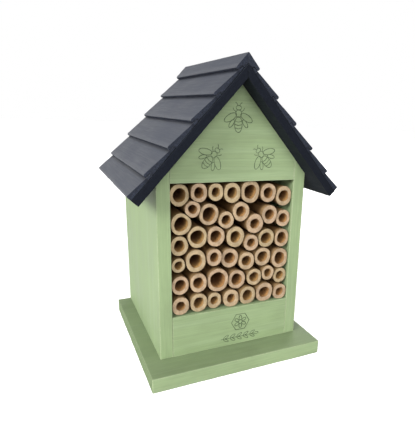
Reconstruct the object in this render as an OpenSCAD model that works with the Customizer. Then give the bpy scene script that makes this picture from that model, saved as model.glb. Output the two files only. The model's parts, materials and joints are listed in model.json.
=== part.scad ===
// Insect hotel: a small gabled wooden house, open at the front and filled with bamboo nesting tubes.
// The front faces -Y. The origin is at the middle of the footprint, on the surface that the base stands on.

/* [House] */
// Width across the side walls
body_w = 120; // [110:1:130]
// Depth from the front boards' face to the back panel's face
body_d = 125; // [110:1:140]
// Thickness of every upright board
wall_t = 10; // [8:0.5:12]
// Height of the roof's underside at the outer face of a side wall
eave_z = 154; // [152:1:162]

/* [Base] */
// Thickness of the base plate
base_t = 12; // [10:0.5:15]
// How far the base plate shows beside each wall
base_side = 12; // [8:1:16]
// How far the base plate runs out in front, as a landing step
base_front = 23; // [15:1:30]

/* [Tube chamber] */
// Height of the chamber's floor
chamber_z = 46; // [44:1:48]
// Clear height of the chamber
chamber_h = 103; // [102:0.5:104]
// Thickness of the boards under and over the tubes
shelf_t = 8; // [6:0.5:9]
// Deepest that a tube's mouth lies behind the front face
tube_recess = 3; // [2:0.5:5]
// Play left between neighbouring tubes
tube_gap = 0.1; // [0.1:0.05:0.2]

/* [Roof] */
// Slope of each roof half, in degrees
pitch = 48; // [46:1:49]
// Length of a roof half down the slope, from the ridge of its underside
roof_len = 112; // [108:1:116]
// How far the roof runs out past the front boards
roof_front = 16; // [10:1:22]
// Thickness of the plain board under the slats
roof_board_t = 6; // [5:0.5:7]
// Distance from one slat's lower edge to the next
slat_pitch = 23.3; // [22:0.1:23.5]
// Thickness of a slat at its upper edge
slat_thin = 1.8; // [1.5:0.1:2.4]
// Thickness of a slat at its lower edge
slat_thick = 4.8; // [4.2:0.1:5.6]
// How far a slat laps over the next one down
slat_lap = 4; // [3:0.5:6]

/* [Hanger] */
// Height of the keyhole's round entry
hanger_z = 178; // [176:1:184]
// Radius of the keyhole's round entry
key_r = 4.5; // [4:0.25:5]
// Width of the keyhole's slot
key_slot = 5; // [4.5:0.25:5.5]

/* [Hidden] */
fit = 0.05;                                  // play round a screw, a nail or a lap
front_y = (base_front - body_d) / 2;         // face of the front boards
back_y = front_y + body_d;                   // face of the back panel
inner_w = body_w - 2 * wall_t;
roof_y0 = front_y - roof_front;
roof_l = back_y - roof_y0;
ridge_z = eave_z + body_w / 2 * tan(pitch);  // ridge of the roof's underside
ceiling_z = chamber_z + chamber_h;
slat_count = 6;
ridge_slat_end = 1.5;                        // lower edge of the topmost slat, down the slope
panel_y = back_y - wall_t;                   // inner face of the back panel

// Screws that hold the walls to the base
screw_r = 1.75;
screw_head_r = 3.5;
screw_head_h = 2.5;
screw_l = 34;
screw_spots = [for (sx = [-1, 1], y = [front_y + 22, back_y - 22]) [sx * (body_w - wall_t) / 2, y]];

// Brads that hold the boards between the walls, and the roof boards to the gables
brad_r = 0.75;
brad_head_r = 1.3;
brad_head_h = 0.8;
brad_l = 26;
wall_brad_spots = [
    [front_y + wall_t / 2, 20], [front_y + wall_t / 2, 36],
    [front_y + 60, chamber_z - shelf_t / 2], [front_y + 60, ceiling_z + shelf_t / 2],
    [back_y - wall_t / 2, 30], [back_y - wall_t / 2, 90], [back_y - wall_t / 2, 145]
];
roof_brad_spots = [for (u = [35, 80], y = [front_y + wall_t / 2, back_y - wall_t / 2]) [u, y]];
roof_brad_l = 20;

// Hanger plate
plate_w = 44;
plate_h = 20;
plate_t = 1.5;
plate_drop = 5;                              // entry hole's height above the plate's lower edge
key_rise = 7;                                // slot's top above the entry hole
plate_screw_x = 17;
plate_screw_r = 1.4;
plate_screw_l = 8.4;
cavity_r = 8;                                // room for the wall screw's head behind the plate

// Bamboo tubes: place across, height over the chamber's floor, thickness before fitting, bore's share of it
TUBES = [
    [-43, 8, 14.5, 0.52], [-28.5, 8.5, 16, 0.58], [-15, 7.5, 14, 0.52], [-1, 7.5, 15, 0.5],
    [13.5, 8, 16, 0.6], [29, 8.5, 16.5, 0.58], [43.5, 7, 14, 0.54],
    [-43, 25, 15.5, 0.62], [-29, 25.5, 14.5, 0.6], [-12.5, 25, 19, 0.7], [4, 23, 16, 0.62],
    [19, 23.5, 15, 0.6], [31.5, 25.5, 13, 0.56], [43.5, 21.5, 12.5, 0.56],
    [-44, 41, 12, 0.58], [-30.5, 43, 18, 0.62], [-16, 44.5, 13.5, 0.56], [-2.5, 42, 15.5, 0.6],
    [11.5, 38.5, 14, 0.58], [26.5, 40, 15, 0.6], [42, 37.5, 17.5, 0.62],
    [-43, 56, 14, 0.6], [15, 53.5, 13.5, 0.54], [-14.5, 61, 16.5, 0.6], [2, 59, 15.5, 0.56],
    [-29.5, 62, 17, 0.68], [28.5, 56, 15.5, 0.62], [43, 55, 15, 0.64],
    [-42, 73, 17, 0.66], [17.5, 69, 15.5, 0.52], [-6.5, 73.5, 13.5, 0.58], [43.5, 71.5, 13, 0.58],
    [-20, 78.5, 17, 0.66], [5.5, 79.5, 15, 0.56], [30.5, 75.5, 14.5, 0.58], [-33, 83.5, 13, 0.56],
    [-42.5, 94, 15.5, 0.64], [-28.5, 95.5, 14, 0.58], [-15.5, 95.5, 13, 0.54], [-2.5, 94.5, 15, 0.56],
    [13, 94.5, 16.5, 0.62], [28.5, 93, 15, 0.58], [42.5, 90, 16, 0.6]
];
TUBE_ROW = [0 : len(TUBES) - 1];

// Distance between the axes of tubes i and j, and from the axis of tube i to the nearest board
function apart(i, j) = norm([TUBES[i][0] - TUBES[j][0], TUBES[i][1] - TUBES[j][1]]);
function wall_room(i) = min(inner_w / 2 - abs(TUBES[i][0]), TUBES[i][1], chamber_h - TUBES[i][1]);

// Two tubes that would overlap both give way in proportion. Then each in turn is thickened again, up to its
// own thickness, until it touches a neighbour.
START_R = [for (i = TUBE_ROW) min([
    wall_room(i),
    for (j = TUBE_ROW)
        if (j != i) TUBES[i][2] * min(0.5, apart(i, j) / (TUBES[i][2] + TUBES[j][2]))
])];
function touching_r(i, radii) = min([
    TUBES[i][2] / 2,
    wall_room(i),
    for (j = TUBE_ROW) if (j != i) apart(i, j) - radii[j]
]);
function thicken(i, radii) =
    i == len(TUBES) ? radii
    : thicken(i + 1, [for (k = TUBE_ROW) k == i ? touching_r(i, radii) : radii[k]]);

TUBE_R = [for (r = thicken(0, START_R)) r - tube_gap / 2];
RECESS = rands(0.5, tube_recess, len(TUBES), 7);

function tube_name(i) = str("tube_", i < 9 ? "0" : "", i + 1);

$fn = 48;

// ---------- frames ----------

// Places its children on a roof half: x runs down the slope, y along the ridge, z out of the slope.
module on_slope(left) {
    mirror([left ? 1 : 0, 0, 0])
        translate([0, 0, ridge_z])
            rotate([0, pitch, 0])
                children();
}

// Extrudes an outline drawn in the slope's x and z along the whole roof.
module along_roof(outline) {
    translate([0, roof_y0 + roof_l, 0])
        rotate([90, 0, 0])
            linear_extrude(height = roof_l) polygon(outline);
}

// Extrudes an outline drawn in x and z from y0 backwards over t.
module upright(y0, t, outline) {
    translate([0, y0 + t, 0])
        rotate([90, 0, 0])
            linear_extrude(height = t) polygon(outline);
}

// ---------- fasteners, grown by g to cut their own holes ----------

module base_screw(g = 0) {
    translate([0, 0, -g]) cylinder(h = screw_head_h + g, r1 = screw_head_r + g, r2 = screw_r + g);
    cylinder(h = screw_l + g, r = screw_r + g);
}

module at_base_screws() {
    for (p = screw_spots) translate([p[0], p[1], 0]) children();
}

module brad(l, g = 0) {
    translate([0, 0, -g]) cylinder(h = brad_head_h + g, r = brad_head_r + g);
    cylinder(h = l + g, r = brad_r + g);
}

module at_wall_brads() {
    for (side = [0, 1], p = wall_brad_spots)
        mirror([side, 0, 0])
            translate([body_w / 2, p[0], p[1]])
                rotate([0, -90, 0])
                    children();
}

module at_roof_brads() {
    for (left = [false, true], p = roof_brad_spots)
        on_slope(left)
            translate([p[0], p[1], roof_board_t])
                rotate([180, 0, 0])
                    children();
}

module hanger_screw(g = 0) {
    translate([0, 0, -g]) cylinder(h = plate_t + g, r1 = 2.6 + g, r2 = plate_screw_r + g);
    cylinder(h = plate_screw_l + g, r = plate_screw_r + g);
}

module at_hanger_screws() {
    for (sx = [-1, 1])
        translate([sx * plate_screw_x, back_y, hanger_z])
            rotate([90, 0, 0])
                children();
}

// ---------- boards ----------

module base_plate() {
    color("darkseagreen")
        difference() {
            translate([-body_w / 2 - base_side, front_y - base_front, 0])
                cube([body_w + 2 * base_side, body_d + base_front, base_t]);
            at_base_screws() base_screw(fit);
        }
}

// A side wall, with its top cut to the roof's slope.
module side_wall(left) {
    color("darkseagreen")
        difference() {
            mirror([left ? 1 : 0, 0, 0])
                upright(front_y, body_d, [
                    [inner_w / 2, base_t],
                    [body_w / 2, base_t],
                    [body_w / 2, eave_z],
                    [inner_w / 2, eave_z + wall_t * tan(pitch)]
                ]);
            at_base_screws() base_screw(fit);
            at_wall_brads() brad(brad_l, fit);
        }
}

module front_sill_board() {
    color("darkseagreen")
        difference() {
            translate([-inner_w / 2, front_y, base_t])
                cube([inner_w, wall_t, chamber_z - base_t]);
            at_wall_brads() brad(brad_l, fit);
        }
}

// Outline of a board that fits between the walls and runs up into the ridge.
function gable_outline(z0) = [
    [-inner_w / 2, z0],
    [inner_w / 2, z0],
    [inner_w / 2, eave_z + wall_t * tan(pitch)],
    [0, ridge_z],
    [-inner_w / 2, eave_z + wall_t * tan(pitch)]
];

module front_gable_board() {
    color("darkseagreen")
        difference() {
            upright(front_y, wall_t, gable_outline(ceiling_z));
            at_roof_brads() brad(roof_brad_l, fit);
        }
}

module back_panel() {
    color("darkseagreen")
        difference() {
            upright(panel_y, wall_t, gable_outline(base_t));
            at_wall_brads() brad(brad_l, fit);
            at_roof_brads() brad(roof_brad_l, fit);
            translate([-plate_w / 2 - fit, back_y - plate_t - fit, hanger_z - plate_drop - fit])
                cube([plate_w + 2 * fit, plate_t + 1, plate_h + 2 * fit]);
            at_hanger_screws() hanger_screw(fit);
            translate([0, back_y + 1, hanger_z + key_rise / 2])
                rotate([90, 0, 0])
                    cylinder(h = wall_t + 2, r = cavity_r);
        }
}

// A board across the chamber, between the walls, with its lower face at z0.
module shelf(z0, y0) {
    color("burlywood")
        difference() {
            translate([-inner_w / 2, y0, z0]) cube([inner_w, panel_y - y0, shelf_t]);
            at_wall_brads() brad(brad_l, fit);
        }
}

// ---------- roof ----------

module roof_board(left) {
    color("darkslategray")
        difference() {
            on_slope(left)
                along_roof([
                    [0, 0],
                    [roof_len, 0],
                    [roof_len, roof_board_t],
                    [-roof_board_t * tan(pitch), roof_board_t]
                ]);
            at_roof_brads() brad(roof_brad_l, fit);
        }
}

function slat_end(i) = i == slat_count - 1 ? roof_len : ridge_slat_end + i * slat_pitch;

// Height of a slat's sloping top over the roof board, at a distance d below the edge of the slat above.
function slat_top(d) = slat_thin + (slat_thick - slat_thin) * (d + slat_lap) / (slat_pitch + slat_lap);

// The topmost slat is cut to the ridge; each lower one tucks its upper edge under the one above.
module roof_slat(i) {
    last = i == slat_count - 1;
    b = slat_end(i);
    a = slat_end(i - 1) - slat_lap;
    lip = last ? slat_top(b - slat_end(i - 1)) : i == 0 ? slat_thick : slat_top(slat_pitch);
    top_a = i == 0 ? slat_thick : slat_thin;
    base = roof_board_t + fit;
    foot = last
        ? [[b, base]]
        : [[b - slat_lap - fit, base], [b - slat_lap - fit, base + slat_thin + fit],
           [b, base + slat_top(0) + fit]];
    head = i == 0
        ? [[-(base + top_a) * tan(pitch), base + top_a], [-base * tan(pitch), base]]
        : [[a, base + slat_thin], [a, base]];
    along_roof(concat(foot, [[b, base + lip]], head));
}

module roof_slats(left) {
    color("darkslategray")
        on_slope(left)
            for (i = [0 : slat_count - 1]) roof_slat(i);
}

// ---------- hanger ----------

module hanger_plate() {
    color("silver")
        difference() {
            translate([-plate_w / 2, back_y - plate_t, hanger_z - plate_drop])
                cube([plate_w, plate_t, plate_h]);
            translate([0, back_y + 1, hanger_z]) rotate([90, 0, 0]) cylinder(h = plate_t + 2, r = key_r);
            translate([-key_slot / 2, back_y - plate_t - 1, hanger_z])
                cube([key_slot, plate_t + 2, key_rise - key_slot / 2]);
            translate([0, back_y + 1, hanger_z + key_rise - key_slot / 2])
                rotate([90, 0, 0])
                    cylinder(h = plate_t + 2, r = key_slot / 2);
            at_hanger_screws() hanger_screw(fit);
        }
}

// ---------- tubes ----------

module tube(i) {
    tube_l = panel_y - front_y - RECESS[i];
    color("wheat")
        translate([TUBES[i][0], panel_y, chamber_z + TUBES[i][1]])
            rotate([90, 0, 0])
                difference() {
                    cylinder(h = tube_l, r = TUBE_R[i]);
                    translate([0, 0, -1]) cylinder(h = tube_l + 2, r = TUBE_R[i] * TUBES[i][3]);
                }
}

base_plate();
side_wall(true);  // left_wall
side_wall(false);  // right_wall
front_sill_board();
front_gable_board();
back_panel();
shelf(chamber_z - shelf_t, front_y + wall_t);  // chamber_floor
shelf(ceiling_z, front_y + wall_t);  // chamber_ceiling
roof_board(true);  // left_roof_board
roof_board(false);  // right_roof_board
roof_slats(true);  // left_roof_slats
roof_slats(false);  // right_roof_slats
color("silver") at_base_screws() base_screw();  // base_screws
color("darkseagreen") at_wall_brads() brad(brad_l);  // wall_brads
color("silver") at_roof_brads() brad(roof_brad_l);  // roof_brads
hanger_plate();
color("silver") at_hanger_screws() hanger_screw();  // hanger_screws
for (i = TUBE_ROW)
    tube(i);
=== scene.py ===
import math
import random

import bmesh
import bpy
from mathutils import Matrix, Vector, noise
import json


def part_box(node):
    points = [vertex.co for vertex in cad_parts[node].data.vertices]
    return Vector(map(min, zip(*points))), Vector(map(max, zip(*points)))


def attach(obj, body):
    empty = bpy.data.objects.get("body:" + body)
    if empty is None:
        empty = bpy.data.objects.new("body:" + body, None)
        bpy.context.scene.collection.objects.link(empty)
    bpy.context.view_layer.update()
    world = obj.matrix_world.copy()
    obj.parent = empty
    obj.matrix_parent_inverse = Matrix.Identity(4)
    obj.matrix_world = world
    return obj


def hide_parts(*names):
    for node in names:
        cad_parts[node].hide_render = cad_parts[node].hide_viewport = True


# An insect hotel: painted boards and a slatted roof round a block of bamboo canes. Lengths are in mm, and
# MM turns them into metres as each mesh is made.

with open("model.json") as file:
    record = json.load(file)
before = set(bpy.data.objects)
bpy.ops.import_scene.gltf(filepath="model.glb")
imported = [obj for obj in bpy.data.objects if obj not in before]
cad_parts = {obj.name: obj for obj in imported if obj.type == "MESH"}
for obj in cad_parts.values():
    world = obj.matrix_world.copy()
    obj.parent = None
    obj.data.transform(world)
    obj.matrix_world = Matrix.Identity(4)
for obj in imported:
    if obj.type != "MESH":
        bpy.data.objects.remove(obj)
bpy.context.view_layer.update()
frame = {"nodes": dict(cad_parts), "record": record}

MM = 0.001
PITCH = math.radians(48)
HALF_WIDTH, WALL_T = 60, 10                      # the body's half width and its boards' thickness, mm
EAVE_Z = 154                                     # outer upper edges of the side walls, mm
RIDGE_Z = EAVE_Z * MM + HALF_WIDTH * MM * math.tan(PITCH)      # ridge of the roof's underside, m
ROOF_LENGTH, ROOF_BOARD_T = 112, 6               # down the slope and out of it, mm
SLAT_PITCH, SLAT_LAP, SLAT_THIN, SLAT_THICK = 23.3, 4, 1.8, 4.8
RIDGE_SLAT_END = 1.5                             # lower edge of the topmost slat, down the slope, mm
SLAT_ENDS = [round(RIDGE_SLAT_END + SLAT_PITCH * i, 1) for i in range(5)] + [ROOF_LENGTH]
LAP_SHADE = 3.6                                   # how far the painted shade reaches below a lap, mm
FIT = 0.05                                       # play between pieces that meet, mm


# ---------- materials ----------

class Look:
    """A procedural material, built up from short calls. An input given as another node's output is linked,
    and anything else is set as its value."""

    def __init__(self, name):
        self.mat = bpy.data.materials.new(name)
        self.mat.use_nodes = True
        self.tree = self.mat.node_tree
        self.shader = self.tree.nodes["Principled BSDF"]

    def add(self, kind, inputs=None, **settings):
        node = self.tree.nodes.new(kind)
        for key, value in settings.items():
            setattr(node, key, value)
        for key, value in (inputs or {}).items():
            self.give(node.inputs[key], value)
        return node

    def give(self, socket, value):
        if isinstance(value, bpy.types.NodeSocket):
            self.tree.links.new(value, socket)
        else:
            socket.default_value = value

    def attribute(self, name):
        return self.add("ShaderNodeAttribute", attribute_name=name).outputs["Fac"]

    def coords(self, scale):
        """The piece's own coordinates, in millimetres, times scale along each axis."""
        source = self.add("ShaderNodeTexCoord").outputs["Object"]
        per_metre = [s / MM for s in scale]
        return self.add("ShaderNodeMapping", {"Vector": source, "Scale": per_metre}).outputs[0]

    def split(self, vector):
        """The three components of a vector."""
        return self.add("ShaderNodeSeparateXYZ", {0: vector}).outputs

    def noise(self, vector, scale=1.0, detail=3.0, roughness=0.55, seed=None):
        inputs = {"Vector": vector, "Scale": scale, "Detail": detail, "Roughness": roughness}
        dimensions = "3D"
        if seed is not None:
            inputs["W"] = seed
            dimensions = "4D"
        return self.add("ShaderNodeTexNoise", inputs, noise_dimensions=dimensions).outputs["Fac"]

    def math(self, operation, a, b=0.0, clamp=False):
        return self.add("ShaderNodeMath", {0: a, 1: b}, operation=operation, use_clamp=clamp).outputs[0]

    def between(self, value, low, high, to_low=0.0, to_high=1.0):
        """value, taken from the range low to high into to_low to to_high."""
        inputs = {"Value": value, "From Min": low, "From Max": high, "To Min": to_low, "To Max": to_high}
        return self.add("ShaderNodeMapRange", inputs, interpolation_type="SMOOTHSTEP").outputs["Result"]

    def mix(self, amount, a, b):
        node = self.add("ShaderNodeMix", data_type="RGBA")
        for index, value in ((0, amount), (6, a), (7, b)):     # the factor's and the colours' sockets
            self.give(node.inputs[index], value)
        return node.outputs[2]

    def shade(self, amount, colour, low, high):
        """colour, low times as bright where amount is under 0.25 and high times where it is over 0.75."""
        value = self.between(amount, 0.25, 0.75, low, high)
        return self.add("ShaderNodeHueSaturation", {"Value": value, "Color": colour}).outputs[0]

    def bump(self, height, depth):
        """A bump map whose height runs over depth, in mm."""
        inputs = {"Height": height, "Distance": depth * MM, "Strength": 1.0}
        return self.add("ShaderNodeBump", inputs).outputs[0]

    def finish(self, colour, roughness, normal, **uniform):
        self.give(self.shader.inputs["Base Color"], colour)
        self.give(self.shader.inputs["Roughness"], roughness)
        self.give(self.shader.inputs["Normal"], normal)
        for key, value in uniform.items():
            self.shader.inputs[key.replace("_", " ")].default_value = value
        return self.mat


def rgb(r, g, b):
    return (r, g, b, 1.0)


def painted_wood(name, grain, paint, pale, bare, end, grain_depth=0.16, rough=(0.5, 0.72), shine=0.35,
                 pore_tones=(0.6, 1.3), sawn_and_shaded="", flat_shade_tone=1.0, laps=None):
    """Paint on sawn wood. grain is the axis that the fibres run along, pale the paint where it is thin,
    bare what shows at rubbed edges, and end the colour of painted end grain and of painted shade. Faces
    across the axes named in sawn_and_shaded look like end grain too, their colour a painted shade. Faces
    that lie
    flat are flat_shade_tone as bright: a painted shade on their upper and lower faces.
    laps is where the first lap lies along X, and the laps' pitch, in mm: painted shade lies below each."""
    look = Look(name)
    axis = "XYZ".index(grain)
    tone = look.math("MULTIPLY", look.attribute("tone"), 40.0)

    def along(fine, coarse):
        return look.coords([coarse if k == axis else fine for k in range(3)])

    fibres = look.noise(along(1.1, 0.03), detail=4, roughness=0.65, seed=tone)
    rings = look.noise(along(0.17, 0.006), detail=2, seed=tone)
    brush = look.noise(along(2.6, 0.05), detail=2, roughness=0.7, seed=tone)
    patches = look.noise(along(0.035, 0.02), detail=3, seed=tone)
    specks = look.noise(along(1.6, 1.6), detail=3, roughness=0.7, seed=tone)

    colour = look.shade(patches, paint, 0.88, 1.1)
    colour = look.mix(look.between(rings, 0.48, 0.66, 0.0, 0.3), colour, pale)
    colour = look.shade(fibres, colour, 0.91, 1.07)
    colour = look.shade(brush, colour, 0.95, 1.04)
    pits = look.between(specks, 0.3, 0.2)
    colour = look.mix(look.math("MULTIPLY", pits, 0.5), colour, end)

    ragged = look.between(patches, 0.3, 0.6, 0.35, 1.0)
    ragged = look.math("MULTIPLY", look.between(specks, 0.35, 0.7), ragged)
    worn = look.math("MULTIPLY", look.between(look.attribute("arris"), 0.74, 0.98), ragged)
    colour = look.mix(worn, colour, bare)

    normal = look.split(look.add("ShaderNodeTexCoord").outputs["Normal"])
    across = look.math("ABSOLUTE", normal[axis])
    # faces across these extra axes take the end grain's colour and roughness: the colour is painted shade
    # on the slats' risers
    for letter in sawn_and_shaded:
        across = look.math("MAXIMUM", across, look.math("ABSOLUTE", normal["XYZ".index(letter)]))
    end_or_shaded = look.between(across, 0.75, 0.95)
    pores = look.noise(look.coords((1.3, 1.3, 1.3)), detail=4, roughness=0.75, seed=tone)
    colour = look.mix(look.math("MULTIPLY", end_or_shaded, 0.92), colour, look.shade(pores, end, *pore_tones))

    # painted shade: the wood just below each lap turns towards the end grain's colour, as under the lap's
    # shadow
    if laps:
        down = look.split(look.coords((1, 1, 1)))[0]
        below = look.math("FLOORED_MODULO", look.math("SUBTRACT", down, laps[0]), laps[1])
        colour = look.mix(look.between(below, 0.0, LAP_SHADE, 0.8, 0.0), colour, end)
    # painted shade: faces that lie flat are made less bright than the upright ones
    if flat_shade_tone < 1:
        colour = look.shade(look.math("ABSOLUTE", normal[2]), colour, 1.0, flat_shade_tone)

    height = look.math("ADD", look.math("MULTIPLY", fibres, 0.6), look.math("MULTIPLY", brush, 0.25))
    height = look.math("ADD", height, look.math("MULTIPLY", pores, look.between(end_or_shaded, 0, 1, 0.15, 1.4)))
    height = look.math("SUBTRACT", height, look.math("MULTIPLY", pits, 0.3))
    roughness = look.between(look.math("ADD", fibres, patches), 0.7, 1.3, *rough)
    roughness = look.math("ADD", roughness, look.math("MULTIPLY", end_or_shaded, 0.35), clamp=True)
    return look.finish(colour, roughness, look.bump(height, grain_depth), Specular_IOR_Level=shine)


def cane_look(name, kind, pink, yellow, dark_and_shade):
    """Bamboo: kind is skin, rim (the sawn face) or bore. Canes range from pink to yellow, and dark is the
    colour of the rim's fibre bundles and edges, and the painted shade on skin and bore further from the
    mouth."""
    look = Look(name)
    tone = look.attribute("tone")
    seed = look.math("MULTIPLY", tone, 60.0)
    hue = look.between(tone, 0.1, 0.9)
    colour = look.mix(hue, pink, yellow)
    if kind == "rim":
        flat = look.coords((1, 0.02, 1))
        bundles = look.add("ShaderNodeTexVoronoi", {"Vector": flat, "Scale": 1.9, "Randomness": 0.9})
        dots = look.between(bundles.outputs["Distance"], 0.34, 0.16)
        outward = look.attribute("outward")
        stains = look.noise(flat, scale=0.22, detail=3, seed=seed)
        fuzz = look.noise(flat, scale=3.0, detail=4, roughness=0.7, seed=seed)
        colour = look.shade(stains, colour, 0.74, 1.16)
        seen = look.math("MULTIPLY", dots, look.between(outward, 0.0, 1.0, 0.28, 0.62))
        colour = look.mix(seen, colour, dark_and_shade)
        colour = look.mix(look.between(outward, 0.9, 1.0, 0.0, 0.55), colour, dark_and_shade)
        colour = look.mix(look.between(outward, 0.12, 0.0, 0.0, 0.65), colour, dark_and_shade)
        colour = look.shade(fuzz, colour, 0.85, 1.14)
        height = look.math("SUBTRACT", fuzz, look.math("MULTIPLY", dots, 0.5))
        depth, rough = 0.16, look.between(fuzz, 0.3, 0.7, 0.7, 0.92)
    else:
        fibres = look.noise(look.coords((1.6, 0.03, 1.6)), detail=4, roughness=0.65, seed=seed)
        stains = look.noise(look.coords((0.1, 0.04, 0.1)), detail=3, seed=seed)
        colour = look.shade(stains, colour, 0.78, 1.14)
        colour = look.shade(fibres, colour, 0.82, 1.12)
        # painted shade: skin and bore grow darker further behind the mouth, where light hardly reaches
        reach, least, dull = (16.0, 0.0, 0.3) if kind == "bore" else (7.0, 0.1, 0.0)
        colour = look.mix(look.between(look.attribute("depth"), 0.0, reach, least, 1.0), colour, dark_and_shade)
        height = fibres
        depth, rough = 0.2, look.between(stains, 0.3, 0.7, 0.38 + dull, 0.6 + dull)
    return look.finish(colour, rough, look.bump(height, depth), Specular_IOR_Level=0.3)


def steel_look(name):
    look = Look(name)
    brushed = look.noise(look.coords((0.15, 2.0, 6.0)), detail=4, roughness=0.7)
    crystals = look.add("ShaderNodeTexVoronoi", {"Vector": look.coords((1, 1, 1)), "Scale": 0.5})
    spangle = look.add("ShaderNodeRGBToBW", {0: crystals.outputs["Color"]}).outputs[0]
    grey = look.mix(look.between(brushed, 0.3, 0.7), rgb(0.42, 0.43, 0.44), rgb(0.62, 0.62, 0.6))
    grey = look.shade(spangle, grey, 0.86, 1.12)
    rough = look.between(brushed, 0.3, 0.7, 0.28, 0.5)
    return look.finish(grey, rough, look.bump(brushed, 0.03), Metallic=1.0)


def ink_look(name):
    look = Look(name)
    uneven = look.noise(look.coords((1.2, 1.2, 1.2)), detail=4, roughness=0.7)
    colour = look.mix(look.between(uneven, 0.35, 0.7), rgb(0.035, 0.06, 0.025), rgb(0.12, 0.17, 0.08))
    return look.finish(colour, look.between(uneven, 0.3, 0.7, 0.6, 0.8), look.bump(uneven, 0.05))


def floor_look():
    look = Look("studio_floor")
    cloud = look.noise(look.coords((0.004, 0.004, 0.004)), detail=3)
    colour = look.mix(look.between(cloud, 0.3, 0.7), rgb(0.86, 0.86, 0.855), rgb(0.9, 0.9, 0.895))
    look.give(look.shader.inputs["Emission Color"], colour)
    rough = look.between(cloud, 0.3, 0.7, 0.6, 0.7)
    return look.finish(colour, rough, look.bump(cloud, 0.02), Emission_Strength=0.6)


GREEN_COATS = (rgb(0.28, 0.368, 0.192), rgb(0.335, 0.425, 0.25),
               rgb(0.44, 0.49, 0.32), rgb(0.21, 0.28, 0.14))
GREEN = {axis: painted_wood(f"green_paint_{axis}", axis, *GREEN_COATS, shine=0.25) for axis in "XZ"}
# the base's upper and lower faces carry painted shade, 0.66 times as bright as its upright faces
GREEN["base"] = painted_wood("green_paint_base", "X", *GREEN_COATS, shine=0.25, flat_shade_tone=0.66)
# the slats carry painted shade in a band below each lap
# the slats' risers, across X, take the end grain's colour as painted shade
SLAT = painted_wood("slat_paint", "Y", rgb(0.047, 0.053, 0.069), rgb(0.063, 0.069, 0.087),
                    rgb(0.1, 0.104, 0.115), rgb(0.006, 0.0075, 0.012), grain_depth=0.2, rough=(0.42, 0.6),
                    shine=0.2, pore_tones=(0.3, 5.0), sawn_and_shaded="X", laps=(RIDGE_SLAT_END, SLAT_PITCH))
# the deck's colours are a darker copy of the slats' paint: painted shade on the roof's underside
DECK = painted_wood("deck_paint", "Y", rgb(0.01, 0.013, 0.018), rgb(0.015, 0.019, 0.026),
                    rgb(0.03, 0.033, 0.04), rgb(0.009, 0.011, 0.017), grain_depth=0.2, rough=(0.65, 0.85),
                    shine=0.1)
BARE = painted_wood("bare_wood", "X", rgb(0.42, 0.28, 0.15), rgb(0.5, 0.36, 0.21),
                    rgb(0.45, 0.32, 0.18), rgb(0.25, 0.16, 0.08), rough=(0.6, 0.8))
STEEL = steel_look("zinc_steel")
INK = ink_look("green_ink")
CANE = [
    cane_look("cane_skin", "skin", rgb(0.36, 0.23, 0.11), rgb(0.3, 0.2, 0.09), rgb(0.13, 0.07, 0.026)),
    cane_look("cane_rim", "rim", rgb(0.47, 0.335, 0.215), rgb(0.45, 0.345, 0.2), rgb(0.2, 0.115, 0.055)),
    cane_look("cane_bore", "bore", rgb(0.42, 0.22, 0.08), rgb(0.44, 0.26, 0.09), rgb(0.11, 0.045, 0.014)),
]


# ---------- pieces ----------

def box_mm(node):
    """A CAD node's box: low and high corner, in mm."""
    low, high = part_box(node)
    return [c / MM for c in low], [c / MM for c in high]


def bm_from(points, faces, merge=0.0):
    """Points, in mm, and faces as a bmesh in metres, its normals outward. Points within merge are one."""
    bm = bmesh.new()
    corners = [bm.verts.new([c * MM for c in point]) for point in points]
    for face in faces:
        bm.faces.new([corners[n] for n in face])
    if merge:
        bmesh.ops.remove_doubles(bm, verts=bm.verts, dist=merge * MM)
    bmesh.ops.recalc_face_normals(bm, faces=bm.faces)
    return bm


def smooth_mesh(name, bm, sharp, **values):
    """Turns a bmesh into a smooth mesh in which edges over sharp degrees stay sharp. values holds, for each
    attribute that the materials read, one number per point."""
    mesh = bpy.data.meshes.new(name)
    for face in bm.faces:
        face.smooth = True
    bm.to_mesh(mesh)
    bm.free()
    for key, numbers in values.items():
        mesh.attributes.new(key, "FLOAT", "POINT").data.foreach_set("value", numbers)
    mesh.set_sharp_from_angle(angle=math.radians(sharp))
    return mesh


def new_piece(name, mesh, materials, nodes, place=None):
    """Puts a mesh into the scene as a piece that stands for the given CAD nodes."""
    piece = bpy.data.objects.new(name, mesh)
    bpy.context.collection.objects.link(piece)
    for material in materials:
        mesh.materials.append(material)
    if place is not None:
        piece.matrix_world = place
    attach(piece, "root")
    if nodes:
        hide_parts(*nodes)
    return piece


# ---------- boards ----------

CUT_PITCH = 4.0                                  # cuts across a board's middle, mm
EDGE_CUTS = (0.7, 1.6, 3.5)                      # first cuts in from each end of a board, mm
ARRIS = 4                                        # wear reaches this far from an edge, mm
WAVE_LENGTH, CHIP_LENGTH = 22, 2.3               # size of a board's unevenness and of its chips, mm


def steps(low, high):
    """Cut positions between low and high: close together near both ends, then evenly spaced."""
    near = [low + k for k in EDGE_CUTS] + [high - k for k in reversed(EDGE_CUTS)]
    edge = EDGE_CUTS[-1]
    middle = high - low - 2 * edge
    count = max(1, round(middle / CUT_PITCH))
    even = [low + edge + middle * i / count for i in range(1, count)]
    return [k for k in near + even if low < k < high]


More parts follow.
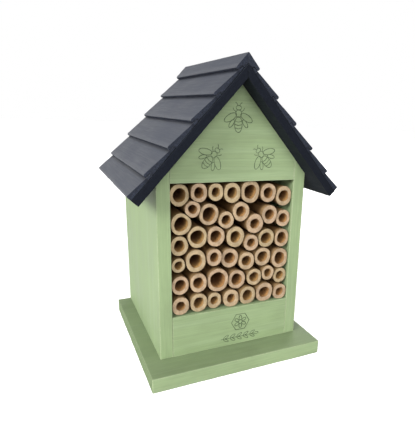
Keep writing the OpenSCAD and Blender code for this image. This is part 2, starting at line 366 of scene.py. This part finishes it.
def sawn_block(outline, y0, y1, bevel):
    """An outline in x and z extruded from y0 to y1, with rounded edges, and cut into small faces."""
    bm = bmesh.new()
    front = [bm.verts.new((x, y0, z)) for x, z in outline]
    back = [bm.verts.new((x, y1, z)) for x, z in outline]
    bm.faces.new(front)
    bm.faces.new(back[::-1])
    for k in range(len(outline)):
        n = (k + 1) % len(outline)
        bm.faces.new((front[n], front[k], back[k], back[n]))
    bmesh.ops.recalc_face_normals(bm, faces=bm.faces)
    bmesh.ops.bevel(bm, geom=bm.edges[:], offset=bevel, segments=3, profile=0.6, affect="EDGES",
                    clamp_overlap=True)

    xs, zs = zip(*outline)
    cuts = [((0, y, 0), (0, 1, 0)) for y in steps(y0, y1)]
    cuts += [((x, 0, 0), (1, 0, 0)) for x in steps(min(xs), max(xs))]
    cuts += [((0, 0, z), (0, 0, 1)) for z in steps(min(zs), max(zs))]
    for point, direction in cuts:
        bmesh.ops.bisect_plane(bm, geom=bm.verts[:] + bm.edges[:] + bm.faces[:], plane_co=point,
                               plane_no=direction)
    return bm


def board(name, outline, y0, y1, material, nodes, place=None, warp=0.1, chip=0.22, bevel=0.55,
          joint=None):
    """A sawn board: an outline in x and z extruded from y0 to y1, all in mm. Its edges are rounded, worn
    and chipped, and its faces are a little uneven, except for the side of the outline numbered joint, which
    meets another board. The arris attribute is 1 on an edge and 0 from ARRIS away."""
    tone = (sum(map(ord, name)) * 37 % 100) / 100          # sets each board's grain apart
    bm = sawn_block(outline, y0, y1, bevel)
    sides = []
    for (ax, az), (bx, bz) in zip(outline, outline[1:] + outline[:1]):
        length = math.hypot(bx - ax, bz - az)
        sides.append((ax, az, (bz - az) / length, (ax - bx) / length))
    bm.normal_update()
    wear, moves = [], []
    for v in bm.verts:
        x, y, z = v.co
        inward = [abs((x - ax) * nx + (z - az) * nz) for ax, az, nx, nz in sides]
        second = sorted([y - y0, y1 - y] + inward)[1]
        closeness = max(0.0, 1 - second / ARRIS)
        wear.append(closeness)
        wave = noise.noise(v.co / WAVE_LENGTH + Vector((tone * 90, 0, 0))) * warp
        nick = max(0.0, noise.noise(v.co / CHIP_LENGTH + Vector((0, tone * 70, 0))))
        nick *= chip * max(0.0, closeness - 0.7) / 0.3
        meets = joint is not None and inward[joint] < 0.01
        moves.append(v.normal * (0.0 if meets else wave - warp * 0.8 - nick))
    for v, move in zip(bm.verts, moves):
        v.co = (v.co + move) * MM
    mesh = smooth_mesh(name, bm, 50, arris=wear, tone=[tone] * len(wear))
    return new_piece(name, mesh, [material], nodes, place)


def upright(low, high, left_top=None, right_top=None):
    """The outline of a board's front between the corners of its box. Its upper edge may slope."""
    left, right = left_top or high[2], right_top or high[2]
    return [(low[0], low[2]), (high[0], low[2]), (high[0], right), (low[0], left)]


def build_boards():
    low, high = box_mm("base_plate")
    board("base_board", upright(low, high), low[1], high[1], GREEN["base"], ["base_plate"],
          bevel=0.8, chip=0.35)
    for side in ("left", "right"):
        low, high = box_mm(f"{side}_wall")
        board(f"{side}_side", upright(low, high, **{f"{side}_top": EAVE_Z}), low[1], high[1],
              GREEN["Z"], [f"{side}_wall"], warp=0.08, bevel=0.4)
    low, high = box_mm("front_sill_board")
    board("sill", upright(low, high), low[1], high[1], GREEN["X"], ["front_sill_board"],
          warp=0.04, bevel=0.2, chip=0.1)
    low, high = box_mm("front_gable_board")
    shoulder = EAVE_Z + WALL_T * math.tan(PITCH)
    outline = [(low[0], low[2]), (high[0], low[2]), (high[0], shoulder), (0, high[2]), (low[0], shoulder)]
    board("gable", outline, low[1], high[1], GREEN["X"], ["front_gable_board"],
          warp=0.04, bevel=0.2, chip=0.1)


# ---------- roof ----------

SLAT_FACE = ROOF_BOARD_T + FIT                   # the slats' underside, out of the slope, mm
NOSE = ((0, 0.9), (0.35, 0.3), (1.2, 0))         # a slat's nose: back from its end, down from its top
SLAT_SEED = 5


def slope(left):
    """Takes x down a roof half, y along the ridge and z out of the slope into the row's frame."""
    turn = Matrix.Rotation(math.pi if left else 0.0, 4, "Z")
    return turn @ Matrix.Translation((0, 0, RIDGE_Z)) @ Matrix.Rotation(PITCH, 4, "Y")


def slat_top(d):
    """A slat's thickness at the distance d below the slat above it."""
    return SLAT_THIN + (SLAT_THICK - SLAT_THIN) * (d + SLAT_LAP) / (SLAT_PITCH + SLAT_LAP)


def slat_outline(i):
    """Slat i, counted from the ridge, down the slope and out of it: a foot notched round the slat below, a
    rounded nose, and a head that lies under the slat above or is mitred at the ridge."""
    end = SLAT_ENDS[i]
    notch = end - SLAT_LAP - FIT
    foot = [(notch, SLAT_FACE), (notch, SLAT_FACE + SLAT_THIN + FIT), (end, SLAT_FACE + slat_top(0) + FIT)]
    if end == ROOF_LENGTH:
        foot = [(end, SLAT_FACE)]
    if i == 0:
        lip = SLAT_THICK
        head = [(-z * math.tan(PITCH), z) for z in (SLAT_FACE + lip, SLAT_FACE)]
    else:
        start = SLAT_ENDS[i - 1] - SLAT_LAP
        lip = slat_top(end - SLAT_ENDS[i - 1])
        head = [(start, SLAT_FACE + SLAT_THIN), (start, SLAT_FACE)]
    return foot + [(end - back, SLAT_FACE + lip - down) for back, down in NOSE] + head


def build_roof():
    rng = random.Random(SLAT_SEED)
    low, high = box_mm("left_roof_board")
    mitre = -ROOF_BOARD_T * math.tan(PITCH)
    deck = [(0, 0), (ROOF_LENGTH, 0), (ROOF_LENGTH, ROOF_BOARD_T), (mitre, ROOF_BOARD_T)]
    for side in ("left", "right"):
        y0, y1 = (-high[1], -low[1]) if side == "left" else (low[1], high[1])
        place = slope(side == "left")
        board(f"{side}_roof_deck", deck, y0, y1, DECK, [f"{side}_roof_board"], place,
              warp=0.05, bevel=0.4, joint=3)
        for i in range(len(SLAT_ENDS)):
            outline = slat_outline(i)
            board(f"{side}_slat_{i + 1}", outline, y0 + rng.uniform(0, 0.8), y1 - rng.uniform(0, 0.8), SLAT,
                  [f"{side}_roof_slats"], place, warp=0.16, chip=0.3, bevel=0.45,
                  joint=len(outline) - 2 if i == 0 else None)


# ---------- bamboo ----------

CANE_SEED = 11
CANE_SIDES = 72
MOUTH = 0.45                                     # the sawn face's mean depth behind the CAD tube's end, mm
REACH_MM = 34                                    # canes further apart than this never touch
SQUASH = 14                                      # how sharply a cane's round side turns into a flat one
CANE_GAP = 0.04                                  # room left on each side where two canes meet, mm
SKIN, RIM, BORE = range(3)                       # a cane's materials
BORE_WAVES = ((2, 0.035), (3, 0.02), (5, 0.015))  # waves round a bore, and their height as a share of it
FIBRE_FACES = ((0, 1, 2), (0, 1, 3), (1, 2, 3), (2, 0, 3))


def cane_cells(canes, room):
    """For each cane, the walls that it may not pass: a direction and a distance to each."""
    (x0, z0), (x1, z1) = room
    cells = []
    for i, (x, z, r) in enumerate(canes):
        walls = [((1, 0), x1 - x), ((-1, 0), x - x0), ((0, 1), z1 - z), ((0, -1), z - z0)]
        for j, (u, w, s) in enumerate(canes):
            away = math.hypot(u - x, w - z)
            if i != j and away < REACH_MM:
                walls.append((((u - x) / away, (w - z) / away), (away * away + r * r - s * s) / (2 * away)))
        cells.append(walls)
    return cells


def cane_reach(walls, r, angle, stretch):
    """The outer radius of a cane in one direction: oval, and flattened where a neighbour is close."""
    c, s = math.cos(angle), math.sin(angle)
    total = (r * (1.0 + stretch * s * s)) ** -SQUASH
    for (nx, nz), gap in walls:
        facing = c * nx + s * nz
        if facing > 0.05:
            total += ((gap - CANE_GAP) / facing) ** -SQUASH
    return total ** (-1 / SQUASH)


def cane_rings(length, knot):
    """The rings of a cane, as distance behind the mouth, share of the wall's thickness and material: up the
    skin from the far end, across the sawn face, and down the bore."""
    backs = {length, length * 0.75, length * 0.5, 6, 3, 1.2, 0.5}
    backs |= {knot + 4, knot + 1, knot + 0.4, knot - 0.4, knot - 1.5}
    rings = [(d, 1.0, SKIN) for d in sorted(backs, reverse=True) if d > 0.4]
    rings += [(0.12, 0.985, SKIN)]
    rings += [(0.0, share, RIM) for share in (0.95, 0.86, 0.74, 0.6, 0.46, 0.32, 0.18)]
    rings += [(0.02, 0.07, RIM), (0.2, 0.0, RIM)]
    return rings + [(d, 0.0, BORE) for d in (0.8, 2, 4, 7, 11, 16, 24, 40, length)]


def cane_section(r, bore, walls, stretch, wobble):
    """A cane's outer and inner radius in each direction."""
    outer, inner = [], []
    for k in range(CANE_SIDES):
        a = math.tau * k / CANE_SIDES
        reach = cane_reach(walls, r, a, stretch)
        uneven = sum(height * math.sin(waves * a + at) for (waves, height), at in zip(BORE_WAVES, wobble))
        outer.append(reach)
        inner.append(bore * (0.5 + 0.5 * reach / r) * (1 + uneven))
    return outer, inner


def cane_points(rings, outer, inner, knot, slant, seed):
    """The points of a cane's rings, in mm from the CAD tube's mouth. The sawn face is fibrous, and leans
    back by slant for each mm across and up. The skin stands out at the knot."""
    points = []
    for depth, share, part in rings:
        for k in range(CANE_SIDES):
            reach = inner[k] + (outer[k] - inner[k]) * share
            c, s = math.cos(math.tau * k / CANE_SIDES), math.sin(math.tau * k / CANE_SIDES)
            back = reach * (c * slant[0] + s * slant[1])
            back += noise.noise(Vector((c * reach * 1.6, s * reach * 1.6, 0)) + seed) * 0.16
            back += noise.noise(Vector((c * reach * 0.35, s * reach * 3.2, 2)) + seed) * 0.12
            if part == BORE:
                reach *= 1 + 0.04 * noise.noise(Vector((c * 2.5, s * 2.5, depth * 0.25)) + seed)
            elif part == SKIN:
                reach *= 1 - 0.012 * abs(noise.noise(Vector((c * 4, s * 4, depth * 0.04)) + seed))
                reach -= 0.25 if depth > 0.3 and abs(depth - knot) > 1.2 else 0.05
            points.append((c * reach, depth + back * max(0.0, 1 - depth / 2.0) + MOUTH, s * reach))
    return points


def ring_faces(rings):
    """The faces between a cane's rings, and the faces' materials. The bore's far end joins the skin's."""
    faces, parts = [], []
    for n in range(len(rings)):
        after = (n + 1) % len(rings)
        a, b = n * CANE_SIDES, after * CANE_SIDES
        for k in range(CANE_SIDES):
            m = (k + 1) % CANE_SIDES
            faces.append((a + k, a + m, b + m, b + k))
        parts += [RIM if after == 0 or rings[n][2] == RIM else rings[after][2]] * CANE_SIDES
    return faces, parts


def cane_fibres(rng, inner, outer, start):
    """Torn fibres that stand up from the sawn face: thin spikes, their points numbered from start."""
    points, faces = [], []
    for _ in range(rng.randint(5, 9)):
        a = rng.uniform(0, math.tau)
        k = int(a / math.tau * CANE_SIDES) % CANE_SIDES
        share = rng.choice((0.05, 0.1, 0.95, rng.uniform(0.2, 0.9)))
        reach = inner[k] + (outer[k] - inner[k]) * share - 0.1
        side = rng.uniform(0.06, 0.12)
        out = rng.uniform(0.3, 0.9)
        bend = rng.uniform(-0.5, 0.5)
        c, s = math.cos(a), math.sin(a)
        first = start + len(points)
        for u, v, w in ((-side, 0.6, 0.0), (side, 0.6, 0.0), (0.0, 0.6, side * 1.5), (0.0, -out, bend)):
            points.append((c * (reach + w) - s * u, v + MOUTH, s * (reach + w) + c * u))
        faces += [tuple(first + corner for corner in face) for face in FIBRE_FACES]
    return points, faces


def build_cane(index, x, z, r, bore, y0, y1, walls, rng):
    """One bamboo tube, its mouth at y0 and its far end at y1, in mm."""
    stretch = rng.uniform(0.07, 0.13)
    lean, lean_at = rng.uniform(0.1, 0.5), rng.uniform(0, math.tau)
    slant = (lean / r * math.cos(lean_at), lean / r * math.sin(lean_at))
    wobble = [rng.uniform(0, math.tau) for _ in range(4)]   # the fourth only keeps later draws in place
    knot = rng.uniform(8, 60)
    seed = Vector((index * 7.3, index * 3.1, index * 5.7))
    outer, inner = cane_section(r, bore, walls, stretch, wobble)
    rings = cane_rings(y1 - y0, knot)
    points = cane_points(rings, outer, inner, knot, slant, seed)
    faces, parts = ring_faces(rings)
    spikes, spike_faces = cane_fibres(rng, inner, outer, len(points))
    depths = [depth for depth, _, _ in rings for _ in range(CANE_SIDES)] + [0.0] * len(spikes)
    shares = [share for _, share, _ in rings for _ in range(CANE_SIDES)] + [0.5] * len(spikes)
    points += spikes
    faces += spike_faces
    parts += [RIM] * len(spike_faces)

    name = f"cane_{index + 1:02d}"
    tone = [rng.random()] * len(points)
    mesh = smooth_mesh(name, bm_from(points, faces), 60, depth=depths, outward=shares, tone=tone)
    mesh.polygons.foreach_set("material_index", parts)
    place = Matrix.Translation((x * MM, y0 * MM, z * MM))
    return new_piece(name, mesh, CANE, [f"tube_{index + 1:02d}"], place)


def build_canes():
    rng = random.Random(CANE_SEED)
    mounts = {m["name"]: m for m in frame["record"]["mounts"]}
    canes, ends, bores = [], [], []
    for i in range(sum(n.startswith("tube_") for n in frame["nodes"])):
        low, high = box_mm(f"tube_{i + 1:02d}")
        canes.append(((low[0] + high[0]) / 2, (low[2] + high[2]) / 2, (high[0] - low[0]) / 2))
        ends.append((low[1], high[1]))
        bores.append(mounts[f"tube_{i + 1:02d}_bore"]["dims"]["r_mm"])
    half = HALF_WIDTH - WALL_T - FIT
    room = ((-half, box_mm("chamber_floor")[1][2] + 0.1), (half, box_mm("chamber_ceiling")[0][2] - 0.1))
    for i, walls in enumerate(cane_cells(canes, room)):
        build_cane(i, *canes[i], bores[i], *ends[i], walls, rng)


# ---------- drawings ----------

BEE_LEAN = 42                                    # how far the two lower bees lean inwards, degrees
FRONT_Y = -51.0                                  # the front boards' face, mm
SILL_DRAWINGS_X = 7.0                            # middle of the flower and the twig, mm
LINE_WIDTH = 0.7                                 # mm


def arc(cx, cy, rx, ry, turn=0.0, count=28):
    """Points along an ellipse, turned about its centre by turn degrees."""
    c, s = math.cos(math.radians(turn)), math.sin(math.radians(turn))
    points = []
    for k in range(count + 1):
        a = math.tau * k / count
        u, v = rx * math.cos(a), ry * math.sin(a)
        points.append((cx + u * c - v * s, cy + u * s + v * c))
    return points


def bee_lines():
    """A bee seen from above, head up, about 20 mm tall, with a striped body, wings, feelers and legs."""
    body_w, body_h, body_y = 3.0, 5.6, -3.6
    lines = [arc(0, 8.2, 2.1, 1.6), arc(0, 4.2, 2.3, 2.6), arc(0, body_y, body_w, body_h)]
    for v in (-6.2, -3.8, -1.4):
        half = (body_w - 0.1) * math.sqrt(max(0.0, 1 - ((v - body_y) / body_h) ** 2))
        lines.append([(-half, v + 0.3), (0, v - 0.4), (half, v + 0.3)])
    for s in (-1, 1):
        lines.append([(s * x, y) for x, y in arc(6.4, 1.3, 5.3, 2.3, -30)])
        lines.append([(s * x, y) for x, y in arc(5.4, -2.9, 3.2, 1.4, -55)])
        lines.append([(s * 0.7, 9.6), (s * 1.5, 11.2), (s * 2.7, 11.9)])
        lines.append([(s * 2.1, 5.4), (s * 4.0, 6.8), (s * 4.6, 8.2)])
    return lines


def flower_lines():
    """A plain six-petalled flower in a comb cell, about 13 mm across."""
    petal_at, cell_r = 2.9, 6.4
    lines = [arc(0, 0, 1.3, 1.3, count=16)]
    for turn in range(30, 390, 60):
        a = math.radians(turn)
        lines.append(arc(petal_at * math.cos(a), petal_at * math.sin(a), 1.6, 0.95, turn, 18))
    corners = [math.radians(60 * k) for k in range(7)]
    return lines + [[(cell_r * math.cos(a), cell_r * math.sin(a)) for a in corners]]


def sprig_lines():
    """A twig 34 mm long, with five pairs of leaves and one at its tip."""
    lines = [[(-17, 0), (13, 0)], arc(15, 0, 2.2, 0.9, count=16)]
    for base in range(-15, 13, 6):
        for side in (-1, 1):
            lines.append(arc(base + 2.4, side * 1.5, 2.5, 0.9, side * 32, 16))
    return lines


def drawing(name, lines, x, z, turn=0.0, scale=1.0, flip=False):
    """Inks lines, in mm, onto the front boards: thin raised strokes that follow the board's face."""
    curve = bpy.data.curves.new(name, "CURVE")
    curve.dimensions = "3D"
    curve.bevel_depth = LINE_WIDTH / 2
    curve.bevel_resolution = 2
    curve.use_fill_caps = True
    for line in lines:
        stroke = curve.splines.new("POLY")
        stroke.points.add(len(line) - 1)
        for k, (u, v) in enumerate(line):
            stroke.points[k].co = (-u if flip else u, 0, v, 1)
            stroke.points[k].radius = 0.75 + 0.35 * noise.noise(Vector((u * 0.8, v * 0.8, x)))
    source = bpy.data.objects.new(name + "_curve", curve)
    mesh = bpy.data.meshes.new_from_object(source)
    bpy.data.objects.remove(source)
    turned = Matrix.Rotation(math.radians(-turn), 4, "Y") @ Matrix.Scale(scale, 4)
    flat = Matrix.Diagonal((MM, MM * 0.35, MM, 1))
    mesh.transform(flat @ turned)
    place = Matrix.Translation((x * MM, FRONT_Y * MM, z * MM))
    return new_piece(name, mesh, [INK], [], place)


def build_drawings():
    drawing("bee_top", bee_lines(), 0.5, 193.5, scale=0.98)
    drawing("bee_left", bee_lines(), -20.5, 166.0, turn=-BEE_LEAN, scale=0.95)
    drawing("bee_right", bee_lines(), 22.5, 166.0, turn=BEE_LEAN, scale=0.95, flip=True)
    drawing("sill_flower", flower_lines(), SILL_DRAWINGS_X, 32.0, scale=1.25)
    drawing("sill_sprig", sprig_lines(), SILL_DRAWINGS_X, 18.5)


# ---------- screws ----------

SCREW_SIDES, FACE_RINGS = 48, 14
THREAD_PITCH = 0.9                               # mm
SLOT_REACH, SLOT_HALF = 0.58, 0.13               # the cross's length and half width, in head radii


def screw_circle(reach, depth):
    angles = [math.tau * k / SCREW_SIDES for k in range(SCREW_SIDES)]
    return [Vector((reach * math.cos(a), reach * math.sin(a), depth)) for a in angles]


def screw_face(head_r, head_h, spin):
    """A screw's dished face, in rings from the middle, with its cross recess turned by spin."""
    points = []
    for i in range(FACE_RINGS + 1):
        for point in screw_circle(head_r * i / FACE_RINGS, 0.0):
            u, v = (abs(c) for c in (Matrix.Rotation(spin, 2) @ point.xy))
            arm = min(max(u - head_r * SLOT_REACH, v - head_r * SLOT_HALF),
                      max(v - head_r * SLOT_REACH, u - head_r * SLOT_HALF))
            point.z = 0.03 + (head_h * 0.55 * min(1.0, -arm / (head_r * 0.07)) if arm < 0 else 0.0)
            point.z += 0.12 * max(0.0, i / FACE_RINGS - 0.9) / 0.1
            points.append(point)
    return points


def build_screws(name, node, spots, direction, head_r, head_h, shank_r, length):
    """Countersunk cross-head screws as one piece. spots are the middles of the faces and direction the way
    the shanks point, all in mm."""
    turn = Vector((0, 0, 1)).rotation_difference(Vector(direction))
    profile = [(head_r, 0.3), (shank_r, head_h)]
    for t in range(int((length - head_h - 3) / THREAD_PITCH)):
        z = head_h + 1 + t * THREAD_PITCH
        profile += [(shank_r * 0.8, z), (shank_r * 0.98, z + 0.4)]
    profile += [(shank_r * 0.75, length - 1.5), (0.0, length - 0.05)]
    points, faces = [], []
    for number, spot in enumerate(spots):
        start = len(points)
        screw = screw_face(head_r, head_h, 0.5 + number * 1.3)
        for reach, z in profile:
            screw += screw_circle(reach, z)
        for i in range(FACE_RINGS + len(profile)):
            for k in range(SCREW_SIDES):
                a = start + i * SCREW_SIDES + k
                b = start + i * SCREW_SIDES + (k + 1) % SCREW_SIDES
                faces.append((a, b, b + SCREW_SIDES, a + SCREW_SIDES))
        points += [turn @ point + Vector(spot) for point in screw]
    mesh = smooth_mesh(name, bm_from(points, faces, merge=0.002), 40)
    return new_piece(name, mesh, [STEEL], [node])


def build_all_screws():
    low, high = box_mm("base_screws")
    inset = 3.5                                  # from the box's side to a screw's axis, mm
    ys = (low[1] + inset, high[1] - inset)
    spots = [(x, y, 0) for x in (low[0] + inset, high[0] - inset) for y in ys]
    build_screws("base_cross_screws", "base_screws", spots, (0, 0, 1), head_r=3.45, head_h=2.5,
                 shank_r=1.72, length=34)
    low, high = box_mm("hanger_screws")
    inset = 2.6
    spots = [(x, high[1], (low[2] + high[2]) / 2) for x in (low[0] + inset, high[0] - inset)]
    build_screws("plate_cross_screws", "hanger_screws", spots, (0, -1, 0), head_r=2.55, head_h=1.5,
                 shank_r=1.37, length=8.4)


# ---------- CAD nodes that are shown as they are ----------

def dress(node, material, bevel=0.0):
    """Gives a CAD node its material, and rounds its edges a little."""
    piece = frame["nodes"][node]
    piece.data.materials.clear()
    piece.data.materials.append(material)
    if bevel:
        piece.modifiers.new("weld", "WELD").merge_threshold = 0.00001
        rounding = piece.modifiers.new("rounding", "BEVEL")
        rounding.width = bevel * MM
        rounding.segments = 3
        rounding.limit_method = "ANGLE"
        rounding.angle_limit = math.radians(40)


def dress_nodes():
    dress("back_panel", GREEN["Z"], 0.5)
    dress("wall_brads", GREEN["Z"])
    dress("chamber_floor", BARE, 0.5)
    dress("chamber_ceiling", BARE, 0.5)
    dress("roof_brads", STEEL)
    dress("hanger_plate", STEEL, 0.2)


# ---------- studio ----------

SKY = ((0.0, 0.2), (0.46, 0.25), (0.48, 1.0), (0.66, 1.0), (0.88, 0.3))    # height and brightness
LIGHTS = (("key", (-1.1, -0.6, 0.75), 0.6, 20),                            # name, place, size, power
          ("front", (-0.15, -1.2, 0.6), 0.7, 8.0),
          ("fill", (1.0, 1.1, 0.7), 0.8, 9))
LIGHTS_AIM = Vector((0, 0, 0.11))
CAMERA_PLACE = (-0.1269, -0.3391, 0.1986)
CAMERA_HEADING, CAMERA_TILT, CAMERA_ROLL = -27.86, 73.0, 2.69              # degrees


def build_floor():
    bpy.ops.mesh.primitive_plane_add(size=12, location=(0, 0, 0))
    floor = bpy.context.object
    floor.name = "studio_floor"
    floor.data.materials.append(floor_look())
    floor.visible_diffuse = False                # a dark table would light the object as little from below


def build_sky():
    """A world that is bright near the horizon and dim overhead and below."""
    world = bpy.data.worlds.new("studio_world")
    bpy.context.scene.world = world
    world.use_nodes = True
    tree = world.node_tree
    up = tree.nodes.new("ShaderNodeSeparateXYZ")
    tree.links.new(tree.nodes.new("ShaderNodeTexCoord").outputs["Generated"], up.inputs[0])
    height = tree.nodes.new("ShaderNodeMath")    # 0 straight down, 0.5 at the horizon, 1 straight up
    height.operation = "MULTIPLY_ADD"
    height.inputs[1].default_value = height.inputs[2].default_value = 0.5
    tree.links.new(up.outputs["Z"], height.inputs[0])
    sky = tree.nodes.new("ShaderNodeValToRGB")
    ramp = sky.color_ramp.elements
    while len(ramp) < len(SKY):
        ramp.new(1.0)
    for stop, (position, level) in zip(ramp, SKY):
        stop.position = position
        stop.color = rgb(level, level, level)
    tree.links.new(height.outputs[0], sky.inputs["Fac"])
    tree.links.new(sky.outputs["Color"], tree.nodes["Background"].inputs["Color"])


def build_lights():
    for name, spot, size, power in LIGHTS:
        light = bpy.data.lights.new(name, "AREA")
        light.size = size
        light.energy = power
        lamp = bpy.data.objects.new(name, light)
        bpy.context.collection.objects.link(lamp)
        lamp.location = spot
        lamp.rotation_euler = (LIGHTS_AIM - Vector(spot)).to_track_quat("-Z", "Y").to_euler()


def build_camera():
    data = bpy.data.cameras.new("camera")
    data.lens = 34.11
    data.sensor_width = 36
    data.shift_x = -0.1257
    data.shift_y = 0.044
    data.clip_start = 0.01
    data.clip_end = 50
    camera = bpy.data.objects.new("camera", data)
    bpy.context.collection.objects.link(camera)
    turn = (Matrix.Rotation(math.radians(CAMERA_HEADING), 4, "Z")
            @ Matrix.Rotation(math.radians(CAMERA_TILT), 4, "X")
            @ Matrix.Rotation(math.radians(CAMERA_ROLL), 4, "Z"))
    camera.matrix_world = Matrix.Translation(CAMERA_PLACE) @ turn
    bpy.context.scene.camera = camera
    bpy.context.scene.view_settings.view_transform = "Standard"


build_boards()
build_roof()
build_canes()
build_drawings()
build_all_screws()
dress_nodes()
build_floor()
build_sky()
build_lights()
build_camera()
